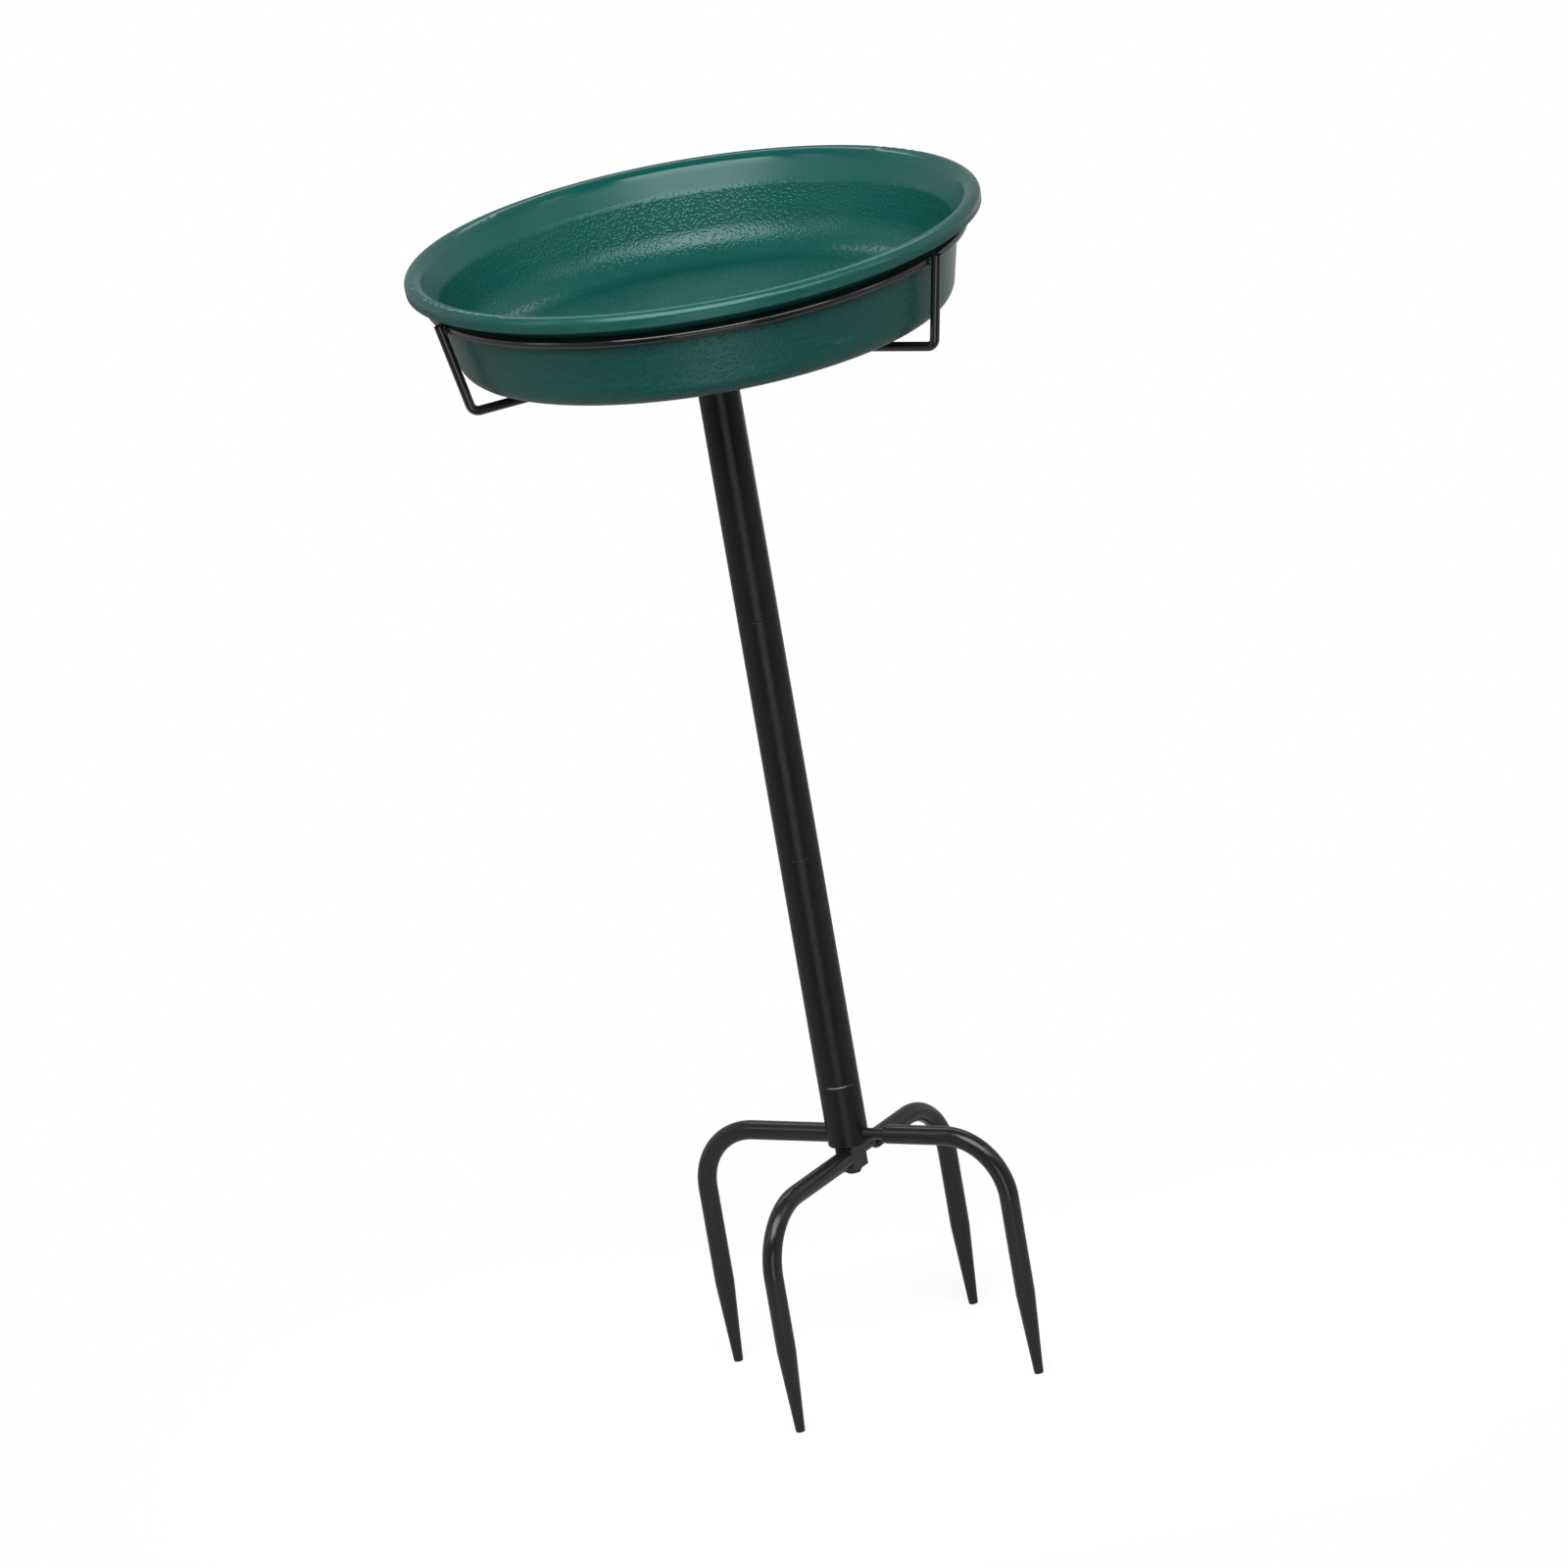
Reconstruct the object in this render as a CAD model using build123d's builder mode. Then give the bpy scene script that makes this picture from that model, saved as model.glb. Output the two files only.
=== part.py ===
from build123d import *
from math import cos, radians, sin, tan
import os

# A shallow feeding dish hangs in a wire cradle on a plug-together garden pole with four prongs.
# Sizes are millimetres and +Z is up. The origin lies on the pole's axis, in the plane of the prong tips.
# Angles are degrees from +X, counter-clockwise seen from above, and the front faces -Y.

# Prongs: round rods bent down to blunt tips, a lower pair crossed under an upper pair
rod_diameter = 10.3
prong_arm_height = 132.4
prong_reach = 93.0
prong_bend_radius = 34.0
tip_diameter = 4.9
tip_rounding = 0.5
tip_taper_length = 45.0
prong_right_angle = -33.2
prong_cross_angle = 90.0

# Prong ends: a left or front prong ends in a flat-sided lug, and its partner's neck plugs into that lug
lug_length = 14.5
lug_width = 10.0
upper_lug_height = 10.8
lower_lug_height = 14.2
lug_corner_radius = 2.5
lug_rounding = 0.6
prong_neck_diameter = 6.0
prong_shoulder = 23.8
shoulder_rounding = 0.8
socket_depth = 9.0
socket_clearance = 0.1
notch_clearance = 0.2

# Clamp: one bolt from below through both lugs into a threaded plug in the base tube
bolt_diameter = 4.0
bolt_clearance = 0.15
thread_clearance = 0.05
bolt_head_diameter = 8.0
bolt_head_height = 1.6
bolt_key_width = 2.5
bolt_key_depth = 0.9
washer_diameter = 9.0
washer_thickness = 0.5
clamp_gap = 0.1
plug_thickness = 7.6
plug_clearance = 0.05

# Pole: tubes of one diameter, each with its lower end drawn down to a neck that plugs into the next
pole_diameter = 22.0
pole_wall = 1.0
neck_length = 15.0
neck_clearance = 0.08
neck_lead_in = 0.5
neck_end_gap = 1.1
swage_height = 1.6
seam_rounding = 0.4
lower_pole_length = 126.7
middle_pole_length = 131.8
upper_pole_length = 128.0

# Cradle: a wire ring inside the dish's edge on three bent wire arms, welded to a hub on top of the pole
ring_inset = 11.5
ring_wire = 5.0
arm_wire = 5.0
arm_lean = 11.7
arm_bend_radius = 5.0
arm_left_angle = 200.0
arm_right_angle = 327.0
arm_back_angle = 85.0
weld_bite = 0.5
hub_arm_height = 19.5
hub_cap_rise = 1.5
hub_cap_thickness = 3.0
hub_rounding = 1.2

# Dish: leaning wall, flare that hangs on the ring, and a rounded lip turned down into a short skirt
rim_radius = 151.5
dish_wall = 3.0
dish_drop = 38.9
dish_seat_gap = 0.3
dish_wall_gap = 0.4
dish_under_gap = 5.5
wall_lean = 12.0
flare_slope = 58.0
flare_rounding = 4.0
crest_rounding = 6.0
lip_width = 7.8
lip_height = 8.2
lip_thickness = 2.4
lip_rounding = 4.0
lip_inner_rounding = 1.0
skirt_thickness = 2.0
skirt_lean = 0.6
skirt_rounding = 0.7
floor_recess = 3.0
foot_width = 8.0
foot_slope = 2.0
outer_corner_radius = 11.0
inner_corner_radius = 20.0

# Radii that several pieces share
rod_radius = rod_diameter / 2
bolt_radius = bolt_diameter / 2
bolt_hole_radius = bolt_radius + bolt_clearance
prong_neck_radius = prong_neck_diameter / 2
pole_radius = pole_diameter / 2
bore_radius = pole_radius - pole_wall
neck_radius = bore_radius - neck_clearance
neck_bore_radius = neck_radius - pole_wall
ring_radius = rim_radius - ring_inset
ring_wire_radius = ring_wire / 2
arm_wire_radius = arm_wire / 2

# Heights, from the prong tips up
base_bottom = prong_arm_height - rod_radius
upper_lug_bottom = prong_arm_height - upper_lug_height / 2
upper_lug_top = prong_arm_height + upper_lug_height / 2
lower_lug_top = upper_lug_bottom - clamp_gap
lower_arm_height = lower_lug_top - lower_lug_height / 2
lower_lug_bottom = lower_lug_top - lower_lug_height
washer_top = lower_lug_bottom - clamp_gap
bolt_head_top = washer_top - washer_thickness
plug_top = upper_lug_top + plug_thickness
base_top = plug_top + neck_end_gap + neck_length
lower_pole_top = base_top + lower_pole_length
middle_pole_top = lower_pole_top + middle_pole_length
upper_pole_top = middle_pole_top + upper_pole_length
arm_height = upper_pole_top + hub_arm_height
hub_top = arm_height + arm_wire_radius + hub_cap_rise
dish_bottom = arm_height + arm_wire_radius + dish_under_gap
ring_height = dish_bottom + dish_drop


def outwards(angle):
    """Horizontal unit vector that points away from the pole's axis."""
    return Vector(cos(radians(angle)), sin(radians(angle)), 0)


def radial_plane(angle):
    """Upright plane through the pole's axis, with local x outwards and local y up."""
    return Plane((0, 0, 0), x_dir=outwards(angle), z_dir=outwards(angle).cross(Vector(0, 0, 1)))


def facing_plane(angle, radius, height):
    """Upright plane that faces outwards, at a radius and a height."""
    return Plane(outwards(angle) * radius + Vector(0, 0, height), z_dir=outwards(angle))


def nearest_corners(sketch, points):
    """The corners of a profile that lie nearest to the given points."""
    return [sketch.vertices().sort_by_distance(point)[0] for point in points]


# Prongs

def bent_rod(angle, start_radius, height):
    """Rod that runs outwards, bends down and tapers to a blunt tip in the plane of the origin."""
    with BuildPart() as rod:
        with BuildLine(radial_plane(angle)) as route:
            FilletPolyline(
                (start_radius, height),
                (prong_reach, height),
                (prong_reach, tip_taper_length),
                radius=prong_bend_radius,
            )
        with BuildSketch(Plane(route.line @ 0, z_dir=route.line % 0)):
            Circle(rod_radius)
        sweep()
        leg_foot = outwards(angle) * prong_reach
        with BuildSketch(Plane(leg_foot)):
            Circle(tip_diameter / 2)
        with BuildSketch(Plane(leg_foot).offset(tip_taper_length)):
            Circle(rod_radius)
        loft()
        fillet(rod.edges().sort_by(Axis.Z)[0], tip_rounding)
    return rod.part


def lug_prong(label, angle, height, lug_height):
    """Prong whose inner end is a flat-sided lug with a bolt hole and a socket for its partner's neck."""
    with BuildPart() as prong:
        with BuildSketch(radial_plane(angle)) as side_view:
            with Locations((0, height)):
                Rectangle(lug_length, lug_height)
            far_corners = side_view.vertices().sort_by(Axis((0, 0, 0), outwards(angle)))[:2]
            fillet(far_corners.sort_by(Axis.Z)[0], lug_corner_radius)
        extrude(amount=lug_width / 2, both=True)
        rod_end = outwards(angle) * lug_length / 2 + Vector(0, 0, height)
        fillet(prong.edges().filter_by(Axis.Z).sort_by_distance(rod_end)[:2], lug_rounding)
        add(bent_rod(angle, lug_length / 2, height))
        with Locations((0, 0, height + lug_height / 2)):
            Hole(bolt_hole_radius)
        with BuildSketch(facing_plane(angle, -lug_length / 2, height)):
            Circle(prong_neck_radius + socket_clearance)
        extrude(amount=socket_depth, mode=Mode.SUBTRACT)
    prong.part.label = label
    return prong.part


def neck_prong(label, angle, height):
    """Prong whose inner end is a thinner neck, drilled for the bolt, that plugs into the lug."""
    neck_reach = prong_shoulder + socket_depth - lug_length / 2 - socket_clearance
    with BuildPart() as prong:
        add(bent_rod(angle, prong_shoulder, height))
        shoulder = outwards(angle) * prong_shoulder + Vector(0, 0, height)
        fillet(prong.edges().filter_by(GeomType.CIRCLE).sort_by_distance(shoulder)[0], shoulder_rounding)
        with BuildSketch(facing_plane(angle, prong_shoulder, height)):
            Circle(prong_neck_radius)
        extrude(amount=-neck_reach)
        with Locations((0, 0, height + rod_radius)):
            Hole(bolt_hole_radius)
    prong.part.label = label
    return prong.part


prong_left_angle = prong_right_angle + 180
prong_back_angle = prong_right_angle + prong_cross_angle
prong_front_angle = prong_back_angle + 180
prong_left = lug_prong("prong_left", prong_left_angle, prong_arm_height, upper_lug_height)
prong_right = neck_prong("prong_right", prong_right_angle, prong_arm_height)
prong_front = lug_prong("prong_front", prong_front_angle, lower_arm_height, lower_lug_height)
prong_back = neck_prong("prong_back", prong_back_angle, lower_arm_height)


# Clamp bolt, its washer and the threaded plug that it screws into

with BuildPart() as clamp_bolt:
    with BuildSketch(Plane.XY.offset(bolt_head_top)):
        Circle(bolt_head_diameter / 2)
    extrude(amount=-bolt_head_height)
    fillet(clamp_bolt.edges().sort_by(Axis.Z)[0], bolt_head_height / 2)
    with BuildSketch(Plane.XY.offset(bolt_head_top)):
        Circle(bolt_radius)
    extrude(amount=plug_top - bolt_head_top)
    chamfer(clamp_bolt.edges().sort_by(Axis.Z)[-1], bolt_radius / 5)
    with BuildSketch(Plane.XY.offset(bolt_head_top - bolt_head_height)):
        RegularPolygon(bolt_key_width / 2, 6, major_radius=False)
    extrude(amount=bolt_key_depth, mode=Mode.SUBTRACT)
clamp_bolt.part.label = "clamp_bolt"

with BuildPart() as bolt_washer:
    with BuildSketch(Plane.XY.offset(bolt_head_top)):
        Circle(washer_diameter / 2)
        Circle(bolt_hole_radius, mode=Mode.SUBTRACT)
    extrude(amount=washer_thickness)
bolt_washer.part.label = "bolt_washer"

with BuildPart() as clamp_plug:
    with BuildSketch(Plane.XY.offset(upper_lug_top)):
        Circle(bore_radius - plug_clearance)
        Circle(bolt_radius + thread_clearance, mode=Mode.SUBTRACT)
    extrude(amount=plug_thickness)
clamp_plug.part.label = "clamp_plug"


# Base tube, open at the top, with a notch for the left prong and a hole for the right prong's neck

with BuildPart() as base_tube:
    with BuildSketch(Plane.XZ) as base_profile:
        with BuildLine():
            Polyline(
                (bore_radius, base_bottom),
                (pole_radius, base_bottom),
                (pole_radius, base_top),
                (bore_radius, base_top),
                close=True,
            )
        make_face()
        base_edges = [(pole_radius, base_bottom), (pole_radius, base_top)]
        fillet(nearest_corners(base_profile, base_edges), seam_rounding)
    revolve(axis=Axis.Z)
    with BuildSketch(facing_plane(prong_left_angle, 0, prong_arm_height)):
        Circle(rod_radius + notch_clearance)
        with Locations((0, -rod_diameter / 2)):
            Rectangle(rod_diameter + 2 * notch_clearance, rod_diameter)
    extrude(amount=pole_diameter, mode=Mode.SUBTRACT)
    with BuildSketch(facing_plane(prong_right_angle, 0, prong_arm_height)):
        Circle(prong_neck_radius + socket_clearance)
    extrude(amount=pole_diameter, mode=Mode.SUBTRACT)
base_tube.part.label = "base_tube"


# Pole tubes

def plug_in_tube(label, bottom, top):
    """Pole tube with a neck below its shoulder, which stands on the rim of the piece below."""
    with BuildPart() as tube:
        with BuildSketch(Plane.XZ) as profile:
            with BuildLine():
                Polyline(
                    (neck_bore_radius, bottom - neck_length),
                    (neck_radius, bottom - neck_length),
                    (neck_radius, bottom),
                    (pole_radius, bottom),
                    (pole_radius, top),
                    (bore_radius, top),
                    (bore_radius, bottom + swage_height),
                    (neck_bore_radius, bottom),
                    close=True,
                )
            make_face()
            fillet(nearest_corners(profile, [(pole_radius, bottom), (pole_radius, top)]), seam_rounding)
            chamfer(nearest_corners(profile, [(neck_radius, bottom - neck_length)]), neck_lead_in)
        revolve(axis=Axis.Z)
    tube.part.label = label
    return tube.part


lower_pole = plug_in_tube("lower_pole", base_top, lower_pole_top)
middle_pole = plug_in_tube("middle_pole", lower_pole_top, middle_pole_top)
upper_pole = plug_in_tube("upper_pole", middle_pole_top, upper_pole_top)


# Cradle: hub, ring and arms

with BuildPart() as cradle_hub:
    with BuildSketch(Plane.XZ) as hub_profile:
        with BuildLine():
            Polyline(
                (neck_bore_radius, upper_pole_top - neck_length),
                (neck_radius, upper_pole_top - neck_length),
                (neck_radius, upper_pole_top),
                (pole_radius, upper_pole_top),
                (pole_radius, hub_top),
                (0, hub_top),
                (0, hub_top - hub_cap_thickness),
                (neck_bore_radius, hub_top - hub_cap_thickness),
                close=True,
            )
        make_face()
        fillet(nearest_corners(hub_profile, [(pole_radius, hub_top)]), hub_rounding)
        fillet(nearest_corners(hub_profile, [(pole_radius, upper_pole_top)]), seam_rounding)
        chamfer(nearest_corners(hub_profile, [(neck_radius, upper_pole_top - neck_length)]), neck_lead_in)
    revolve(axis=Axis.Z)
cradle_hub.part.label = "cradle_hub"

with BuildPart() as cradle_ring:
    with Locations((0, 0, ring_height)):
        Torus(ring_radius, ring_wire_radius)
cradle_ring.part.label = "cradle_ring"


def cradle_arm(label, angle):
    """Wire arm from the hub's side, out under the dish and up to the outside of the ring."""
    weld_radius = ring_radius + ring_wire_radius + arm_wire_radius - weld_bite
    corner_radius = weld_radius - (ring_height - arm_height) * tan(radians(arm_lean))
    top_radius = weld_radius + ring_wire_radius * tan(radians(arm_lean))
    with BuildPart() as arm:
        with BuildLine(radial_plane(angle)) as route:
            FilletPolyline(
                (bore_radius, arm_height),
                (corner_radius, arm_height),
                (top_radius, ring_height + ring_wire_radius),
                radius=arm_bend_radius,
            )
        with BuildSketch(Plane(route.line @ 0, z_dir=route.line % 0)):
            Circle(arm_wire_radius)
        sweep()
        with Locations((0, 0, arm_height)):
            Cylinder(pole_radius, 2 * arm_wire, mode=Mode.SUBTRACT)
        with Locations((0, 0, ring_height)):
            Torus(ring_radius, ring_wire_radius, mode=Mode.SUBTRACT)
    arm.part.label = label
    return arm.part


cradle_arm_left = cradle_arm("cradle_arm_left", arm_left_angle)
cradle_arm_right = cradle_arm("cradle_arm_right", arm_right_angle)
cradle_arm_back = cradle_arm("cradle_arm_back", arm_back_angle)


# Dish: one turned profile, with its flare's underside seated on the ring

wall_tan = tan(radians(wall_lean))
flare_tan = tan(radians(flare_slope))
wall_radius = ring_radius - ring_wire_radius - dish_wall_gap
inner_wall_radius = wall_radius - dish_wall / cos(radians(wall_lean))


def wall_at(radius_at_ring, height):
    """Radius of the leaning wall at a height, from its radius at the ring's height."""
    return radius_at_ring + (height - ring_height) * wall_tan


def flare_point(distance):
    """Point of the flare's line that runs at a distance from the middle of the ring's wire."""
    return (
        ring_radius - distance * sin(radians(flare_slope)),
        ring_height + distance * cos(radians(flare_slope)),
    )


def flare_at(point, radius):
    """Height of the flare's line through a point, at a radius."""
    return point[1] + (radius - point[0]) * flare_tan


def wall_meets_flare(radius_at_ring, point):
    """Corner where a wall line runs into the flare's line through a point."""
    height_gap = wall_at(radius_at_ring, point[1]) - point[0]
    height = point[1] + height_gap / (1 / flare_tan - wall_tan)
    return (wall_at(radius_at_ring, height), height)


outer_flare = flare_point(ring_wire_radius + dish_seat_gap)
inner_flare = flare_point(ring_wire_radius + dish_seat_gap + dish_wall)
floor_underside = dish_bottom + floor_recess
floor_top = floor_underside + dish_wall
crest_radius = rim_radius - lip_width
lip_top = flare_at(inner_flare, crest_radius)
lip_underside = lip_top - lip_thickness
skirt_bottom = lip_top - lip_height
skirt_outer_radius = rim_radius - skirt_lean
skirt_inner_radius = skirt_outer_radius - skirt_thickness
outer_wall_foot = (wall_at(wall_radius, dish_bottom), dish_bottom)
inner_wall_foot = (wall_at(inner_wall_radius, floor_top), floor_top)
outer_wall_head = wall_meets_flare(wall_radius, outer_flare)
inner_wall_head = wall_meets_flare(inner_wall_radius, inner_flare)
foot_outer_radius = outer_wall_foot[0] - outer_corner_radius
foot_inner_radius = foot_outer_radius - foot_width
outer_flare_head = (outer_flare[0] + (lip_underside - outer_flare[1]) / flare_tan, lip_underside)
skirt_inner_head = (skirt_inner_radius, lip_underside)
skirt_inner_foot = (skirt_inner_radius, skirt_bottom)
skirt_outer_foot = (skirt_outer_radius, skirt_bottom)
lip_edge = (rim_radius, lip_top)
crest = (crest_radius, lip_top)

with BuildPart() as dish:
    with BuildSketch(Plane.XZ) as dish_profile:
        with BuildLine():
            Polyline(
                (0, floor_underside),
                (foot_inner_radius - foot_slope, floor_underside),
                (foot_inner_radius, dish_bottom),
                outer_wall_foot,
                outer_wall_head,
                outer_flare_head,
                skirt_inner_head,
                skirt_inner_foot,
                skirt_outer_foot,
                lip_edge,
                crest,
                inner_wall_head,
                inner_wall_foot,
                (0, floor_top),
                close=True,
            )
        make_face()
        fillet(nearest_corners(dish_profile, [outer_wall_foot]), outer_corner_radius)
        fillet(nearest_corners(dish_profile, [inner_wall_foot]), inner_corner_radius)
        fillet(nearest_corners(dish_profile, [outer_wall_head]), flare_rounding)
        fillet(nearest_corners(dish_profile, [inner_wall_head]), flare_rounding + dish_wall)
        fillet(nearest_corners(dish_profile, [crest]), crest_rounding)
        fillet(nearest_corners(dish_profile, [lip_edge]), lip_rounding)
        fillet(nearest_corners(dish_profile, [outer_flare_head, skirt_inner_head]), lip_inner_rounding)
        fillet(nearest_corners(dish_profile, [skirt_outer_foot, skirt_inner_foot]), skirt_rounding)
    revolve(axis=Axis.Z)
dish.part.label = "dish"


# One file for each piece

pieces = [
    dish.part,
    cradle_ring.part,
    cradle_arm_left,
    cradle_arm_right,
    cradle_arm_back,
    cradle_hub.part,
    upper_pole,
    middle_pole,
    lower_pole,
    base_tube.part,
    clamp_plug.part,
    prong_left,
    prong_right,
    prong_front,
    prong_back,
    clamp_bolt.part,
    bolt_washer.part,
]
os.makedirs("parts", exist_ok=True)
for piece in pieces:
    export_step(piece, f"parts/{piece.label}.step")
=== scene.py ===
from math import atan2, cos, hypot, pi, radians, sin

import bpy
from bpy.props import FloatProperty, FloatVectorProperty, PointerProperty, StringProperty
from bpy.types import NodeSocket, Operator, Panel, PropertyGroup
from mathutils import Matrix, Vector


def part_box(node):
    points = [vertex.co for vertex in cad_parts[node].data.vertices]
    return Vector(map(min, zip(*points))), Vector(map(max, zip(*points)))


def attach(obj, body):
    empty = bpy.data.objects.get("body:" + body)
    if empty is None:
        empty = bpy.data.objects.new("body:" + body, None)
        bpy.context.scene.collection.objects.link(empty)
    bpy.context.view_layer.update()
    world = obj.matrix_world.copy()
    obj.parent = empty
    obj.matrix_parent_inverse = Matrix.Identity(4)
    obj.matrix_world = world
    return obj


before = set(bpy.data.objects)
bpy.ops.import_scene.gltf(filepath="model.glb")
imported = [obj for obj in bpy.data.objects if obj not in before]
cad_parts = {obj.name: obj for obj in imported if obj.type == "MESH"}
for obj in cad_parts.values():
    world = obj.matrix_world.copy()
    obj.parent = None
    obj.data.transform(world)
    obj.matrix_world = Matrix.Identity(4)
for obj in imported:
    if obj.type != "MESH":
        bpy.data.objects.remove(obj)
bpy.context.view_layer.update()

bl_info = {
    "name": "Feeding dish on a pole",
    "version": (1, 0, 0),
    "blender": (4, 5, 0),
    "location": "3D View > Sidebar > Feeder",
    "description": "Gives the feeding dish, its cradle and its pole their finishes, welds and studio",
    "category": "Object",
}

POLE_TUBES = ("upper_pole", "middle_pole", "lower_pole")
PRONGS = ("prong_left", "prong_right", "prong_front", "prong_back")
CRADLE_ARMS = ("cradle_arm_left", "cradle_arm_right", "cradle_arm_back")
CRADLE_PIECES = ("cradle_ring", "cradle_hub") + CRADLE_ARMS
CRADLE_BODY = "cradle"
WHITE = (1.0, 1.0, 1.0, 1.0)

# Places and sizes of the soft boxes, in metres. Each faces the dish, and the card the upper pole.
DISH_POINT = (0.0, 0.0, 0.6)
POLE_POINT = (0.0, 0.0, 0.5)
KEY_SPOT = (-0.12, -0.72, 1.29)
KEY_SIZE = (1.0, 0.8)
LOW_SPOT = (0.55, -0.68, 1.15)
LOW_SIZE = (0.44, 0.4)
BACK_SPOT = (0.0, 1.0, 1.65)
BACK_SIZE = (1.5, 0.25)
LEFT_STRIP_SPOT = (-1.05, -0.35, 1.2)
RIGHT_STRIP_SPOT = (1.05, -0.35, 1.2)
STRIP_SIZE = (0.25, 0.9)
CARD_SPOT = (0.02, -1.1, 0.15)
CARD_SIZE = (0.6, 0.7)

ring_low, ring_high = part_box("cradle_ring")
ring_height = (ring_low.z + ring_high.z) / 2
ring_wire_radius = (ring_high.z - ring_low.z) / 2
ring_radius = ring_high.x - ring_wire_radius
hub_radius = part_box("cradle_hub")[1].x
arm_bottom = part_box("cradle_arm_left")[0].z
dish_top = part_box("dish")[1].z


class FeederFinishes(PropertyGroup):
    """Colours, gloss and grain of the materials."""

    dish_colour: StringProperty(
        name="Dish colour",
        description="sRGB hex colour of the inside of the moulded dish",
        default="0c4f4b",
    )
    # The outside colour is darker than the inside's as painted shade, because the outside lies away from
    # the lamps over the dish.
    dish_outside_painted_shade_colour: StringProperty(
        name="Dish outside colour",
        description="sRGB hex colour of the duller outside of the moulded dish",
        default="124943",
    )
    dish_sheen_colour: StringProperty(
        name="Dish sheen colour",
        description="sRGB hex colour of the dish's sheen, which the pigment just under the skin tints",
        default="e4fffd",
    )
    dish_roughness: FloatProperty(
        name="Dish roughness",
        description="Roughness of the dish's flare",
        default=0.34,
        subtype="FACTOR",
    )
    dish_flow_tint: FloatProperty(
        name="Dish flow tint",
        description="How much paler the flow marks in the moulding are",
        default=0.16,
        subtype="FACTOR",
    )
    dish_grain: FloatProperty(
        name="Dish grain",
        description="Width of one pebble of the moulded grain",
        default=0.0017,
        unit="LENGTH",
    )
    dish_grain_depth: FloatProperty(
        name="Dish grain depth",
        description="Depth of the moulded grain",
        default=0.00016,
        unit="LENGTH",
    )
    scuff_length: FloatProperty(
        name="Scuff length",
        description="Length of a scuff on the outside of the dish",
        default=0.012,
        unit="LENGTH",
    )
    scuff_width: FloatProperty(
        name="Scuff width",
        description="Width of a scuff on the outside of the dish",
        default=0.0008,
        unit="LENGTH",
    )
    prong_colour: StringProperty(
        name="Prong colour",
        description="sRGB hex colour of the black powder coat on the prongs",
        default="202021",
    )
    prong_roughness: FloatProperty(
        name="Prong roughness",
        description="Roughness of the powder coat on the prongs",
        default=0.2,
        subtype="FACTOR",
    )
    prong_specular: FloatProperty(
        name="Prong specular",
        description="Specular level of the powder coat on the prongs",
        default=0.5,
        subtype="FACTOR",
    )
    tube_colour: StringProperty(
        name="Tube colour",
        description="sRGB hex colour of the black powder coat on the pole's tubes",
        default="1a1a1b",
    )
    tube_roughness: FloatProperty(
        name="Tube roughness",
        description="Roughness of the powder coat on the pole's tubes",
        default=0.32,
        subtype="FACTOR",
    )
    tube_specular: FloatProperty(
        name="Tube specular",
        description="Specular level of the powder coat on the pole's tubes",
        default=0.3,
        subtype="FACTOR",
    )
    wire_colour: StringProperty(
        name="Wire colour",
        description="sRGB hex colour of the black powder coat on the cradle",
        default="141415",
    )
    wire_roughness: FloatProperty(
        name="Wire roughness",
        description="Roughness of the powder coat on the cradle",
        default=0.16,
        subtype="FACTOR",
    )
    wire_specular: FloatProperty(
        name="Wire specular",
        description="Specular level of the powder coat on the cradle",
        default=0.8,
        subtype="FACTOR",
    )
    # The next two settings are the colour and the width of a painted highlight. It is a grey line just
    # below the base tube's mouth and stands in for light caught by its rounded edge.
    edge_highlight_colour: StringProperty(
        name="Worn colour",
        description="sRGB hex colour of the steel where the coat is rubbed off",
        default="767675",
    )
    edge_highlight_width: FloatProperty(
        name="Worn width",
        description="Width of the rubbed line at the mouth of the base tube",
        default=0.012,
        unit="LENGTH",
    )
    coat_ripple: FloatProperty(
        name="Coat ripple",
        description="Width of one ripple of the powder coat's orange peel",
        default=0.0022,
        unit="LENGTH",
    )
    coat_ripple_depth: FloatProperty(
        name="Coat ripple depth",
        description="Depth of the powder coat's orange peel",
        default=0.000012,
        unit="LENGTH",
    )
    bolt_colour: StringProperty(
        name="Bolt colour",
        description="sRGB hex colour of the blackened bolt and washer",
        default="2a2a2c",
    )
    bolt_roughness: FloatProperty(
        name="Bolt roughness",
        description="Roughness of the blackened bolt and washer",
        default=0.42,
        subtype="FACTOR",
    )
    plug_colour: StringProperty(
        name="Plug colour",
        description="sRGB hex colour of the zinc plated plug",
        default="b4b6b8",
    )
    plug_roughness: FloatProperty(
        name="Plug roughness",
        description="Roughness of the zinc plated plug",
        default=0.35,
        subtype="FACTOR",
    )
    turning: FloatProperty(
        name="Turning",
        description="Spacing of the turning marks on the bolt, washer and plug",
        default=0.0012,
        unit="LENGTH",
    )


class FeederWelds(PropertyGroup):
    """Sizes of the weld beads on the cradle."""

    bead_width: FloatProperty(
        name="Bead width",
        description="Width of a weld bead beside an arm",
        default=0.0026,
        unit="LENGTH",
    )
    bead_length: FloatProperty(
        name="Bead length",
        description="Length of a weld bead along an arm",
        default=0.0052,
        unit="LENGTH",
    )
    collar_width: FloatProperty(
        name="Collar width",
        description="Width of the weld collar where an arm meets the hub",
        default=0.0018,
        unit="LENGTH",
    )
    arm_wire: FloatProperty(
        name="Arm wire",
        description="Diameter of the arms' wire",
        default=0.005,
        unit="LENGTH",
    )


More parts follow.
